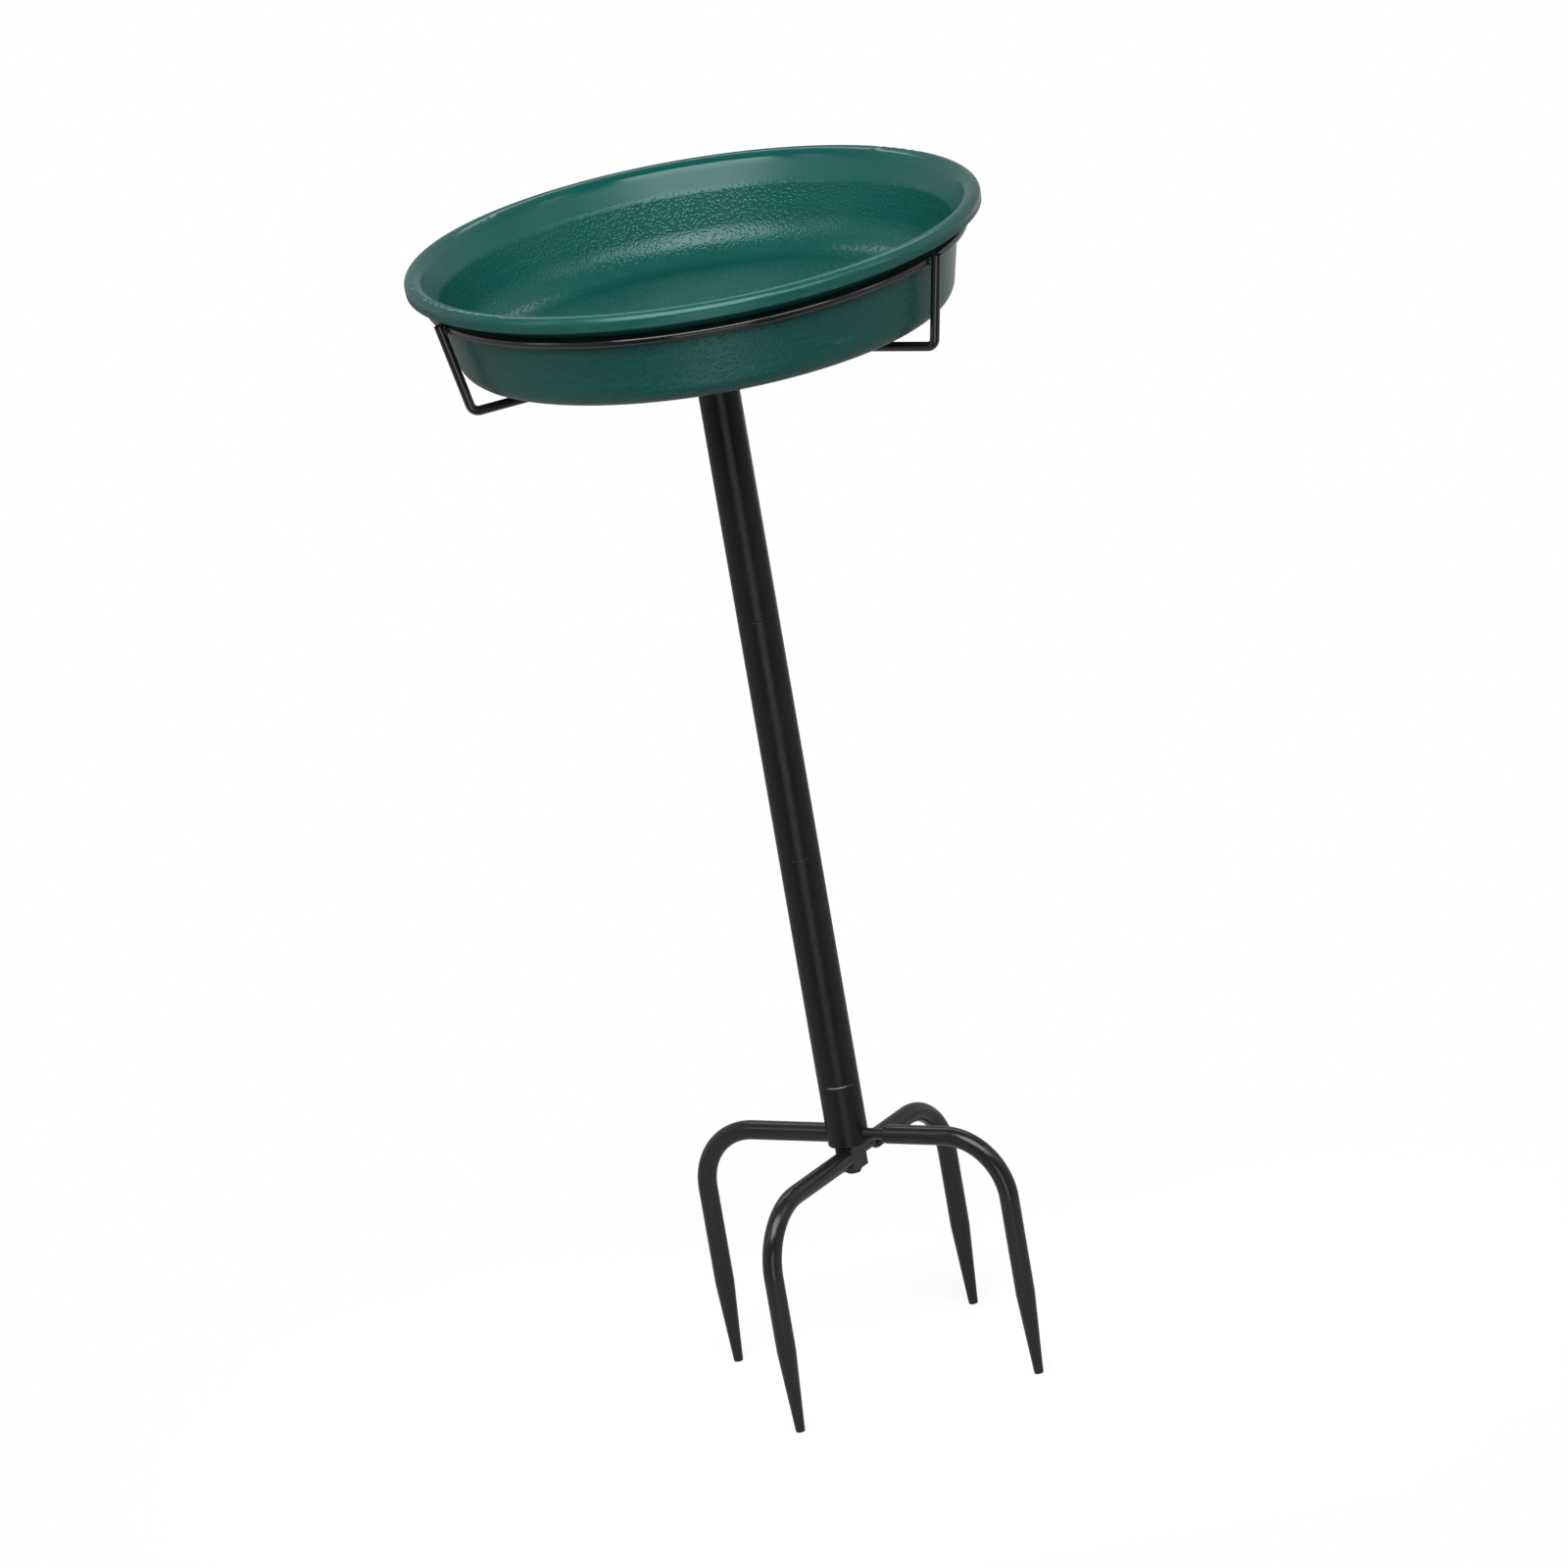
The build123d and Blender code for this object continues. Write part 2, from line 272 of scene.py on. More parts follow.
class FeederStage(PropertyGroup):
    """The camera, the lights and the floor."""

    camera_target: FloatVectorProperty(
        name="Camera target",
        description="Point that the camera's axis passes through",
        default=(0.0, 0.0, 0.33),
        subtype="TRANSLATION",
        unit="LENGTH",
    )
    camera_distance: FloatProperty(
        name="Camera distance",
        description="Distance from the camera to its target",
        default=7.5,
        unit="LENGTH",
    )
    camera_elevation: FloatProperty(
        name="Camera elevation",
        description="Height of the camera above the level, as an angle",
        default=radians(16.8722),
        unit="ROTATION",
    )
    camera_roll: FloatProperty(
        name="Camera roll",
        description="Turn of the picture, which makes the pole lean to the left",
        default=radians(9.8346),
        unit="ROTATION",
    )
    camera_lens: FloatProperty(
        name="Camera lens",
        description="Focal length in millimetres, on a sensor 36 mm wide",
        default=329.16,
    )
    camera_shift: FloatVectorProperty(
        name="Camera shift",
        description="Shift of the lens across and up, as shares of the sensor's width",
        default=(-0.00134, -0.00302),
        size=2,
    )
    key_power: FloatProperty(
        name="Key power",
        description="Power of the soft box above and in front, in watts",
        default=13.6,
    )
    low_power: FloatProperty(
        name="Low power",
        description="Power of the small soft box in front on the right, in watts",
        default=1.9,
    )
    back_power: FloatProperty(
        name="Back power",
        description="Power of the soft box above and behind, in watts",
        default=3.3,
    )
    strip_power: FloatProperty(
        name="Strip power",
        description="Power of each narrow soft box at the sides, in watts",
        default=0.9,
    )
    card_power: FloatProperty(
        name="Card power",
        description="Power of the low reflector card in front, in watts",
        default=1.8,
    )
    room_level: FloatProperty(
        name="Room level",
        description="Brightness of the room in front of the stage",
        default=0.05,
    )
    side_level: FloatProperty(
        name="Side level",
        description="Brightness of the white walls at both sides of the stage",
        default=0.28,
    )
    surround_level: FloatProperty(
        name="Surround level",
        description="Brightness of the white surround as it lights the object",
        default=0.2,
    )
    mirror_level: FloatProperty(
        name="Mirror level",
        description="Brightness of the paper far behind on the right as the object mirrors it",
        default=0.8,
    )


def linear(hex_text):
    """Linear RGBA of an sRGB hex colour."""
    channels = [int(hex_text[start : start + 2], 16) / 255 for start in (0, 2, 4)]
    curve = [c / 12.92 if c <= 0.04045 else ((c + 0.055) / 1.055) ** 2.4 for c in channels]
    return (*curve, 1.0)


def scaled(colour, factor):
    """A linear colour made lighter or darker by a factor."""
    return (*(factor * channel for channel in colour[:3]), 1.0)


def grey(level):
    """Linear RGBA of a neutral grey."""
    return (level, level, level, 1.0)


def add_node(tree, kind, inputs=None, **settings):
    """Adds a node with its settings. An input takes a value, or the socket that feeds it."""
    node = tree.nodes.new(kind)
    for name, value in settings.items():
        setattr(node, name, value)
    for socket, value in (inputs or {}).items():
        if isinstance(value, NodeSocket):
            tree.links.new(value, node.inputs[socket])
        else:
            node.inputs[socket].default_value = value
    return node


def start_material(name):
    """A new material with an empty node tree."""
    material = bpy.data.materials.new(name)
    material.use_nodes = True
    material.node_tree.nodes.clear()
    return material, material.node_tree


def outside_of_dish(tree, place):
    """Socket that is 1 on the dish's outside and 0 on its inside, by which way a face looks."""
    radial = add_node(tree, "ShaderNodeVectorMath", {0: place, 1: (1.0, 1.0, 0.0)}, operation="MULTIPLY")
    radial = add_node(tree, "ShaderNodeVectorMath", {0: radial.outputs[0]}, operation="NORMALIZE")
    facing = add_node(tree, "ShaderNodeTexCoord").outputs["Normal"]
    outwards = add_node(
        tree, "ShaderNodeVectorMath", {0: facing, 1: radial.outputs[0]}, operation="DOT_PRODUCT"
    )
    # A face that looks up counts as the inside even where it leans outwards, as on the lip.
    upwards = add_node(tree, "ShaderNodeSeparateXYZ", {0: facing}).outputs["Z"]
    outwards = add_node(
        tree,
        "ShaderNodeMath",
        {0: upwards, 1: -0.5, 2: outwards.outputs["Value"]},
        operation="MULTIPLY_ADD",
    )
    outside = add_node(
        tree, "ShaderNodeMapRange", {"Value": outwards.outputs[0], "From Min": -0.1, "From Max": 0.4}
    )
    return outside.outputs["Result"]


def dish_pigment(finishes, tree, place, outside):
    """Socket with the dish's colour, with its flow marks, the scuffs on its outside and the painted shade
    that darkens its outside.
    """
    # Flow marks are about 3 mm high and run 60 mm around the wall. These are marks per metre.
    flow_marks = (17.0, 17.0, 330.0)
    stretched = add_node(tree, "ShaderNodeMapping", {"Vector": place, "Scale": flow_marks})
    flow = add_node(
        tree,
        "ShaderNodeTexNoise",
        {"Vector": stretched.outputs["Vector"], "Scale": 1.0, "Detail": 3.0, "Roughness": 0.6},
    )
    paler = add_node(
        tree,
        "ShaderNodeMapRange",
        {
            "Value": flow.outputs["Fac"],
            "From Min": 0.35,
            "From Max": 0.75,
            "To Min": 1.0,
            "To Max": 1.0 + finishes.dish_flow_tint,
        },
    )
    # Handling and stacking leave short level scuffs on the outside.
    scuff_tint = 0.45
    along, across = 1 / finishes.scuff_length, 1 / finishes.scuff_width
    drawn_out = add_node(tree, "ShaderNodeMapping", {"Vector": place, "Scale": (along, along, across)})
    scratches = add_node(
        tree, "ShaderNodeTexNoise", {"Vector": drawn_out.outputs["Vector"], "Scale": 1.0, "Detail": 1.0}
    )
    scuffed = add_node(
        tree,
        "ShaderNodeMapRange",
        {"Value": scratches.outputs["Fac"], "From Min": 0.6, "From Max": 0.75, "To Max": scuff_tint},
    )
    scuffed = add_node(
        tree, "ShaderNodeMath", {0: scuffed.outputs["Result"], 1: outside}, operation="MULTIPLY"
    )
    paler = add_node(
        tree, "ShaderNodeMath", {0: paler.outputs["Result"], 1: scuffed.outputs[0]}, operation="ADD"
    )
    # The outside is a little darker and a little greener than the inside. The darkening is painted shade,
    # standing in for the shade that the outside lies in, away from the lamps over the dish.
    colour_with_painted_shade = add_node(
        tree,
        "ShaderNodeMix",
        {0: outside, 6: linear(finishes.dish_colour), 7: linear(finishes.dish_outside_painted_shade_colour)},
        data_type="RGBA",
    )
    colour = add_node(
        tree,
        "ShaderNodeVectorMath",
        {0: colour_with_painted_shade.outputs[2], "Scale": paler.outputs[0]},
        operation="SCALE",
    )
    return colour.outputs["Vector"]


def dish_gloss(finishes, tree, place, outside, grained):
    """Socket with the dish's roughness."""
    height = add_node(tree, "ShaderNodeSeparateXYZ", {0: place}).outputs["Z"]
    handled_patch = 0.035
    handled_change = 0.05
    handled = add_node(
        tree, "ShaderNodeTexNoise", {"Vector": place, "Scale": 1 / handled_patch, "Detail": 2.0}
    )
    gloss = add_node(
        tree,
        "ShaderNodeMapRange",
        {
            "Value": handled.outputs["Fac"],
            "From Min": 0.3,
            "From Max": 0.7,
            "To Min": finishes.dish_roughness,
            "To Max": finishes.dish_roughness + handled_change,
        },
    )
    # Below the flare each pebble is smoother than the flare, and the outside is duller than the inside.
    grained_change, outside_change = -0.1, 0.08
    gloss = add_node(
        tree,
        "ShaderNodeMath",
        {0: grained, 1: grained_change, 2: gloss.outputs["Result"]},
        operation="MULTIPLY_ADD",
    )
    gloss = add_node(
        tree,
        "ShaderNodeMath",
        {0: outside, 1: outside_change, 2: gloss.outputs["Value"]},
        operation="MULTIPLY_ADD",
    )
    # Hands polish the lip.
    lip_change = -0.22
    lip_foot, lip_crest = dish_top - 0.006, dish_top - 0.003
    polished = add_node(
        tree, "ShaderNodeMapRange", {"Value": height, "From Min": lip_foot, "From Max": lip_crest}
    )
    gloss = add_node(
        tree,
        "ShaderNodeMath",
        {0: polished.outputs["Result"], 1: lip_change, 2: gloss.outputs["Value"]},
        operation="MULTIPLY_ADD",
    )
    return gloss.outputs["Value"]


def moulded_polypropylene(finishes):
    """Injection-moulded polypropylene with a pebble grain below a smooth flare."""
    # It gives the eye a deep satin green, a fine sparkle where light grazes the grain, faint level flow
    # marks from the mould, and a clean soft sheen on the flare and the lip.
    material, tree = start_material("moulded_polypropylene")
    place = add_node(tree, "ShaderNodeTexCoord").outputs["Object"]
    height = add_node(tree, "ShaderNodeSeparateXYZ", {0: place}).outputs["Z"]
    outside = outside_of_dish(tree, place)
    # The grain fades out within 4 mm at the foot of the flare.
    flare_foot = ring_height + 2 * ring_wire_radius
    grain_end = flare_foot - 0.004
    grained = add_node(
        tree,
        "ShaderNodeMapRange",
        {"Value": height, "From Min": flare_foot, "From Max": grain_end, "To Min": 0.05, "To Max": 1.0},
    ).outputs["Result"]
    # It is drawn a little coarser than the real one so that its sparkle shows in a picture.
    pebbles = add_node(
        tree, "ShaderNodeTexVoronoi", {"Vector": place, "Scale": 1 / finishes.dish_grain, "Randomness": 1.0}
    )
    domes = add_node(
        tree,
        "ShaderNodeMapRange",
        {"Value": pebbles.outputs["Distance"], "From Min": 0.55, "From Max": 0.1},
        interpolation_type="SMOOTHSTEP",
    )
    grain_height = add_node(
        tree, "ShaderNodeMath", {0: domes.outputs["Result"], 1: grained}, operation="MULTIPLY"
    )
    bump = add_node(
        tree,
        "ShaderNodeBump",
        {"Height": grain_height.outputs["Value"], "Strength": 1.0, "Distance": finishes.dish_grain_depth},
    )
    shader = add_node(
        tree,
        "ShaderNodeBsdfPrincipled",
        {
            "Base Color": dish_pigment(finishes, tree, place, outside),
            "Roughness": dish_gloss(finishes, tree, place, outside, grained),
            "IOR": 1.49,
            "Specular Tint": linear(finishes.dish_sheen_colour),
            "Normal": bump.outputs["Normal"],
        },
    )
    add_node(tree, "ShaderNodeOutputMaterial", {"Surface": shader.outputs["BSDF"]})
    return material


def painted_edge_highlight(finishes, tree, place, edge):
    """Socket that is 1 where a painted highlight lies just below a tube's edge, and 0 elsewhere."""
    line_foot, line_head = edge - 0.0011, edge - 0.0007
    split = add_node(tree, "ShaderNodeSeparateXYZ", {0: place}).outputs
    below_edge = add_node(
        tree, "ShaderNodeMapRange", {"Value": split["Z"], "From Min": line_foot, "From Max": line_head}
    )
    # The painted highlight stands in for light caught by the rounded edge. It lies at the front and the
    # back of the tube.
    half_width, fade = finishes.edge_highlight_width / 2, 0.0015
    aside = add_node(tree, "ShaderNodeMath", {0: split["X"]}, operation="ABSOLUTE")
    front_and_back = add_node(
        tree,
        "ShaderNodeMapRange",
        {"Value": aside.outputs[0], "From Min": half_width + fade, "From Max": half_width - fade},
    )
    highlight_patch = 0.009
    patches = add_node(
        tree, "ShaderNodeTexNoise", {"Vector": place, "Scale": 1 / highlight_patch, "Detail": 2.0}
    )
    patchy_highlight = add_node(
        tree,
        "ShaderNodeMapRange",
        {
            "Value": patches.outputs["Fac"],
            "From Min": 0.36,
            "From Max": 0.52,
            "To Max": front_and_back.outputs["Result"],
        },
    )
    painted_highlight = add_node(
        tree,
        "ShaderNodeMath",
        {0: below_edge.outputs["Result"], 1: patchy_highlight.outputs["Result"]},
        operation="MULTIPLY",
    )
    return painted_highlight.outputs[0]


def powder_coat(finishes, name, hex_colour, roughness, specular, highlight_edge=None):
    """Black powder coat, baked on steel, with a painted highlight just below a tube's edge where one is
    given.
    """
    # It gives the eye a neutral black with a soft satin band along each tube and a slight orange peel.
    material, tree = start_material(name)
    place = add_node(tree, "ShaderNodeTexCoord").outputs["Object"]
    peel = add_node(
        tree, "ShaderNodeTexNoise", {"Vector": place, "Scale": 1 / finishes.coat_ripple, "Detail": 1.0}
    )
    bump = add_node(
        tree,
        "ShaderNodeBump",
        {"Height": peel.outputs["Fac"], "Strength": 1.0, "Distance": finishes.coat_ripple_depth},
    )
    # Dust makes the black a quarter paler in clouds about 30 mm across.
    cloud_width, dust_factor = 0.03, 1.25
    cloud = add_node(tree, "ShaderNodeTexNoise", {"Vector": place, "Scale": 1 / cloud_width, "Detail": 3.0})
    dusty = add_node(
        tree, "ShaderNodeMapRange", {"Value": cloud.outputs["Fac"], "From Min": 0.4, "From Max": 0.8}
    )
    black = linear(hex_colour)
    colour = add_node(
        tree,
        "ShaderNodeMix",
        {0: dusty.outputs["Result"], 6: black, 7: scaled(black, dust_factor)},
        data_type="RGBA",
    )
    # Below the given edge, a grey line is painted in as a highlight.
    if highlight_edge is not None:
        painted_highlight = painted_edge_highlight(finishes, tree, place, highlight_edge)
        colour = add_node(
            tree,
            "ShaderNodeMix",
            {0: painted_highlight, 6: colour.outputs[2], 7: linear(finishes.edge_highlight_colour)},
            data_type="RGBA",
        )
    gloss_change = 0.03
    gloss = add_node(
        tree,
        "ShaderNodeMapRange",
        {
            "Value": cloud.outputs["Fac"],
            "From Min": 0.3,
            "From Max": 0.7,
            "To Min": roughness - gloss_change,
            "To Max": roughness + gloss_change,
        },
    )
    shader = add_node(
        tree,
        "ShaderNodeBsdfPrincipled",
        {
            "Base Color": colour.outputs[2],
            "Roughness": gloss.outputs["Result"],
            "IOR": 1.5,
            "Specular IOR Level": specular,
            "Normal": bump.outputs["Normal"],
        },
    )
    add_node(tree, "ShaderNodeOutputMaterial", {"Surface": shader.outputs["BSDF"]})
    return material


def turned_steel(name, hex_colour, roughness, turning):
    """Turned steel, blackened or zinc plated, with fine rings around the bolt's axis."""
    # It gives the eye a dull metal sheen that breaks into fine concentric lines.
    material, tree = start_material(name)
    place = add_node(tree, "ShaderNodeTexCoord").outputs["Object"]
    rings = add_node(
        tree,
        "ShaderNodeTexWave",
        {"Vector": place, "Scale": 1 / turning, "Distortion": 0.6, "Detail": 1.0},
        wave_type="RINGS",
        rings_direction="Z",
    )
    ring_depth = 0.00001
    bump = add_node(
        tree,
        "ShaderNodeBump",
        {"Height": rings.outputs["Fac"], "Strength": 0.6, "Distance": ring_depth},
    )
    # The plating is a little darker in clouds about 4 mm across.
    cloud_width, dark_factor = 0.004, 0.85
    cloud = add_node(tree, "ShaderNodeTexNoise", {"Vector": place, "Scale": 1 / cloud_width, "Detail": 2.0})
    clear = add_node(
        tree, "ShaderNodeMapRange", {"Value": cloud.outputs["Fac"], "From Min": 0.3, "From Max": 0.7}
    )
    steel = linear(hex_colour)
    colour = add_node(
        tree,
        "ShaderNodeMix",
        {0: clear.outputs["Result"], 6: scaled(steel, dark_factor), 7: steel},
        data_type="RGBA",
    )
    shader = add_node(
        tree,
        "ShaderNodeBsdfPrincipled",
        {
            "Base Color": colour.outputs[2],
            "Metallic": 1.0,
            "Roughness": roughness,
            "Normal": bump.outputs["Normal"],
        },
    )
    add_node(tree, "ShaderNodeOutputMaterial", {"Surface": shader.outputs["BSDF"]})
    return material


def finish_node(node, material):
    """Gives a piece of the model its material."""
    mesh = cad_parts[node].data
    mesh.materials.clear()
    mesh.materials.append(material)


def arm_direction(node):
    """Angle of a cradle arm about the pole, from the end that stands furthest out."""
    end_depth = 0.002
    points = [vertex.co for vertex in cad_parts[node].data.vertices]
    reach = max(hypot(point.x, point.y) for point in points)
    end = [point for point in points if hypot(point.x, point.y) > reach - end_depth]
    return atan2(sum(point.y for point in end), sum(point.x for point in end))


def select_none():
    """Deselects every object."""
    bpy.ops.object.select_all(action="DESELECT")


def name_newest(name):
    """Names the newest object and its mesh."""
    piece = bpy.context.active_object
    piece.name = name
    piece.data.name = name
    return piece


def round_off(piece):
    """Smooths a modelled piece with one level of subdivision."""
    smooth = piece.modifiers.new("smooth", "SUBSURF")
    smooth.levels = 1
    smooth.render_levels = 1
    bpy.ops.object.modifier_apply(modifier=smooth.name)
    bpy.ops.object.shade_smooth()


def place_copy(source, name, matrix):
    """Copies a modelled piece with its own mesh, moved to its place."""
    copy = source.copy()
    copy.data = source.data.copy()
    copy.name = name
    copy.data.name = name
    copy.data.transform(matrix)
    bpy.context.scene.collection.objects.link(copy)
    return copy


class FEEDER_OT_dish(Operator):
    """Gives the dish its moulded plastic"""

    bl_idname = "feeder.dish"
    bl_label = "Dish"

    def execute(self, context):
        finish_node("dish", moulded_polypropylene(context.scene.feeder_finishes))
        return {"FINISHED"}


class FEEDER_OT_pole(Operator):
    """Gives the pole's tubes and the base tube their powder coat"""

    bl_idname = "feeder.pole"
    bl_label = "Pole tubes"

    def execute(self, context):
        finishes = context.scene.feeder_finishes
        finish = (finishes.tube_colour, finishes.tube_roughness, finishes.tube_specular)
        coat = powder_coat(finishes, "powder_coat_tube", *finish)
        for node in POLE_TUBES:
            finish_node(node, coat)
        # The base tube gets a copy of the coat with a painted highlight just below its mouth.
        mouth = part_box("base_tube")[1].z
        highlighted_coat = powder_coat(finishes, "powder_coat_with_highlight", *finish, highlight_edge=mouth)
        finish_node("base_tube", highlighted_coat)
        return {"FINISHED"}


class FEEDER_OT_prongs(Operator):
    """Gives the prongs their powder coat"""

    bl_idname = "feeder.prongs"
    bl_label = "Prongs"

    def execute(self, context):
        finishes = context.scene.feeder_finishes
        finish = (finishes.prong_colour, finishes.prong_roughness, finishes.prong_specular)
        coat = powder_coat(finishes, "powder_coat_prong", *finish)
        for node in PRONGS:
            finish_node(node, coat)
        return {"FINISHED"}


class FEEDER_OT_cradle(Operator):
    """Gives the cradle's ring, arms and hub their powder coat"""

    bl_idname = "feeder.cradle"
    bl_label = "Cradle"

    def execute(self, context):
        finishes = context.scene.feeder_finishes
        finish = (finishes.wire_colour, finishes.wire_roughness, finishes.wire_specular)
        coat = powder_coat(finishes, "powder_coat_wire", *finish)
        for node in CRADLE_PIECES:
            finish_node(node, coat)
        return {"FINISHED"}


class FEEDER_OT_clamp(Operator):
    """Gives the clamp's bolt, washer and plug their steel"""

    bl_idname = "feeder.clamp"
    bl_label = "Clamp"

    def execute(self, context):
        finishes = context.scene.feeder_finishes
        turning = finishes.turning
        black = turned_steel("blackened_steel", finishes.bolt_colour, finishes.bolt_roughness, turning)
        zinc = turned_steel("zinc_plated_steel", finishes.plug_colour, finishes.plug_roughness, turning)
        for node in ("clamp_bolt", "bolt_washer"):
            finish_node(node, black)
        finish_node("clamp_plug", zinc)
        return {"FINISHED"}


class FEEDER_OT_welds(Operator):
    """Models the weld beads that hold the cradle's arms to its ring and hub"""

    bl_idname = "feeder.welds"
    bl_label = "Welds"

    def model_bead(self, sizes):
        """A rippled bead along +Z at the origin."""
        ripple = sizes.bead_width * 0.06
        select_none()
        bpy.ops.mesh.primitive_uv_sphere_add(segments=20, ring_count=14, radius=sizes.bead_width / 2)
        bead = name_newest("weld_bead")
        bpy.ops.object.mode_set(mode="EDIT")
        bpy.ops.mesh.select_all(action="SELECT")
        bpy.ops.transform.resize(value=(1.0, 1.0, sizes.bead_length / sizes.bead_width))
        bpy.ops.transform.vertex_random(offset=ripple, uniform=0.4, normal=0.6, seed=4)
        bpy.ops.object.mode_set(mode="OBJECT")
        round_off(bead)
        return bead

    def model_collar(self, sizes):
        """A rippled collar around +Z at the origin."""
        ripple = sizes.collar_width * 0.12
        select_none()
        bpy.ops.mesh.primitive_torus_add(
            major_segments=28,
            minor_segments=10,
            major_radius=sizes.arm_wire / 2 + sizes.collar_width / 6,
            minor_radius=sizes.collar_width / 2,
        )
        collar = name_newest("weld_collar")
        bpy.ops.object.mode_set(mode="EDIT")
        bpy.ops.mesh.select_all(action="SELECT")
        bpy.ops.transform.vertex_random(offset=ripple, uniform=0.5, normal=0.5, seed=9)
        bpy.ops.object.mode_set(mode="OBJECT")
        round_off(collar)
        return collar

    def execute(self, context):
        sizes = context.scene.feeder_welds
        coat = bpy.data.materials["powder_coat_wire"]
        bead = self.model_bead(sizes)
        collar = self.model_collar(sizes)
        groove_radius = ring_radius + ring_wire_radius
        groove_side = sizes.arm_wire / 2 + sizes.bead_width / 8
        arm_height = arm_bottom + sizes.arm_wire / 2
        across = Matrix.Rotation(pi / 2, 4, "Y")
        at_hub = Matrix.Translation((hub_radius, 0, arm_height)) @ across
        welds = []
        for node in CRADLE_ARMS:
            side = node.split("_")[-1]
            turn = Matrix.Rotation(arm_direction(node), 4, "Z")
            for end, sign in (("a", -1), ("b", 1)):
                at_ring = Matrix.Translation((groove_radius, sign * groove_side, ring_height))
                welds.append(place_copy(bead, f"weld_ring_{side}_{end}", turn @ at_ring))
            welds.append(place_copy(collar, f"weld_hub_{side}", turn @ at_hub))
        for source in (bead, collar):
            bpy.data.objects.remove(source)
        for weld in welds:
            weld.data.materials.clear()
            weld.data.materials.append(coat)
            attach(weld, CRADLE_BODY)
        return {"FINISHED"}


class FEEDER_OT_stage(Operator):
    """Sets up the floor, the studio lights, the white surround and the camera"""

    bl_idname = "feeder.stage"
    bl_label = "Stage"

    def white_paper(self, stage):
        """Paper that is white in the picture and holds the object's shadow around the prongs."""
        material, tree = start_material("white_paper")
        place = add_node(tree, "ShaderNodeTexCoord").outputs["Object"]
        rays = add_node(tree, "ShaderNodeLightPath").outputs
        # The object mirrors the paper at the surround's level, and brighter far behind on the right.
        back_start, back_end = 1.0, 1.5
        right_start, right_end = 0.1, 0.45
        split = add_node(tree, "ShaderNodeSeparateXYZ", {0: place}).outputs
        far_back = add_node(
            tree,
            "ShaderNodeMapRange",
            {"Value": split["Y"], "From Min": back_start, "From Max": back_end},
            interpolation_type="SMOOTHSTEP",
        )
        far_right = add_node(
            tree,
            "ShaderNodeMapRange",
            {
                "Value": split["X"],
                "From Min": right_start,
                "From Max": right_end,
                "To Max": far_back.outputs[0],
            },
            interpolation_type="SMOOTHSTEP",
        )
        brighter = add_node(
            tree,
            "ShaderNodeMapRange",
            {"Value": far_right.outputs[0], "To Min": stage.surround_level, "To Max": stage.mirror_level},
        )
        mirrored = add_node(
            tree,
            "ShaderNodeMath",
            {0: rays["Is Glossy Ray"], 1: rays["Is Transmission Ray"]},
            operation="ADD",
        )
        dimmed = add_node(
            tree, "ShaderNodeMath", {0: mirrored.outputs[0], 1: brighter.outputs[0]}, operation="MULTIPLY"
        )
        seen = add_node(
            tree,
            "ShaderNodeMath",
            {0: rays["Is Camera Ray"], 1: dimmed.outputs[0]},
            operation="ADD",
            use_clamp=True,
        )
        # The shadow shows within this distance of the pole's axis, on paper that is part glow, part lit.
        shadow_edge, shadow_core = 0.42, 0.16
        glow_level, shadow_paper, bounce_paper = 0.71, 0.45, 0.4
        distance = add_node(tree, "ShaderNodeVectorMath", {0: place}, operation="LENGTH")
        near = add_node(
            tree,
            "ShaderNodeMapRange",
            {"Value": distance.outputs["Value"], "From Min": shadow_edge, "From Max": shadow_core},
            interpolation_type="SMOOTHSTEP",
        )
        white = add_node(tree, "ShaderNodeEmission", {"Color": WHITE, "Strength": 1.0})
        glow = add_node(tree, "ShaderNodeEmission", {"Color": WHITE, "Strength": glow_level})
        paper = add_node(tree, "ShaderNodeBsdfDiffuse", {"Color": grey(shadow_paper)})
        shaded = add_node(tree, "ShaderNodeAddShader", {0: glow.outputs[0], 1: paper.outputs[0]})
        shown = add_node(
            tree,
            "ShaderNodeMixShader",
            {0: near.outputs[0], 1: white.outputs[0], 2: shaded.outputs[0]},
        )
        bounce = add_node(tree, "ShaderNodeBsdfDiffuse", {"Color": grey(bounce_paper)})
        both = add_node(
            tree,
            "ShaderNodeMixShader",
            {0: seen.outputs[0], 1: bounce.outputs[0], 2: shown.outputs[0]},
        )
        add_node(tree, "ShaderNodeOutputMaterial", {"Surface": both.outputs[0]})
        return material

    def add_floor(self, stage):
        """A pale paper floor that ends just in front of the prongs."""
        front, back, half_width = -0.33, 3.6, 2.2
        select_none()
        bpy.ops.mesh.primitive_plane_add(size=1.0)
        floor = name_newest("floor")
        bpy.ops.object.mode_set(mode="EDIT")
        bpy.ops.mesh.select_all(action="SELECT")
        bpy.ops.transform.resize(value=(2 * half_width, back - front, 1.0))
        bpy.ops.transform.translate(value=(0.0, (back + front) / 2, 0.0))
        bpy.ops.object.mode_set(mode="OBJECT")
        floor.data.materials.append(self.white_paper(stage))

    def add_light(self, name, power, size, spot, target=DISH_POINT):
        """A rectangular soft light that faces a target and doesn't show in the picture."""
        lamp = bpy.data.lights.new(name, "AREA")
        lamp.shape = "RECTANGLE"
        lamp.size, lamp.size_y = size
        lamp.energy = power
        light = bpy.data.objects.new(name, lamp)
        light.location = spot
        light.rotation_euler = (Vector(target) - Vector(spot)).to_track_quat("-Z", "Y").to_euler()
        light.visible_camera = False
        bpy.context.scene.collection.objects.link(light)

    def add_surround(self, stage):
        """White walls behind the object and at both sides, and a dim room in front of it."""
        world = bpy.data.worlds.new("studio")
        bpy.context.scene.world = world
        world.use_nodes = True
        tree = world.node_tree
        tree.nodes.clear()
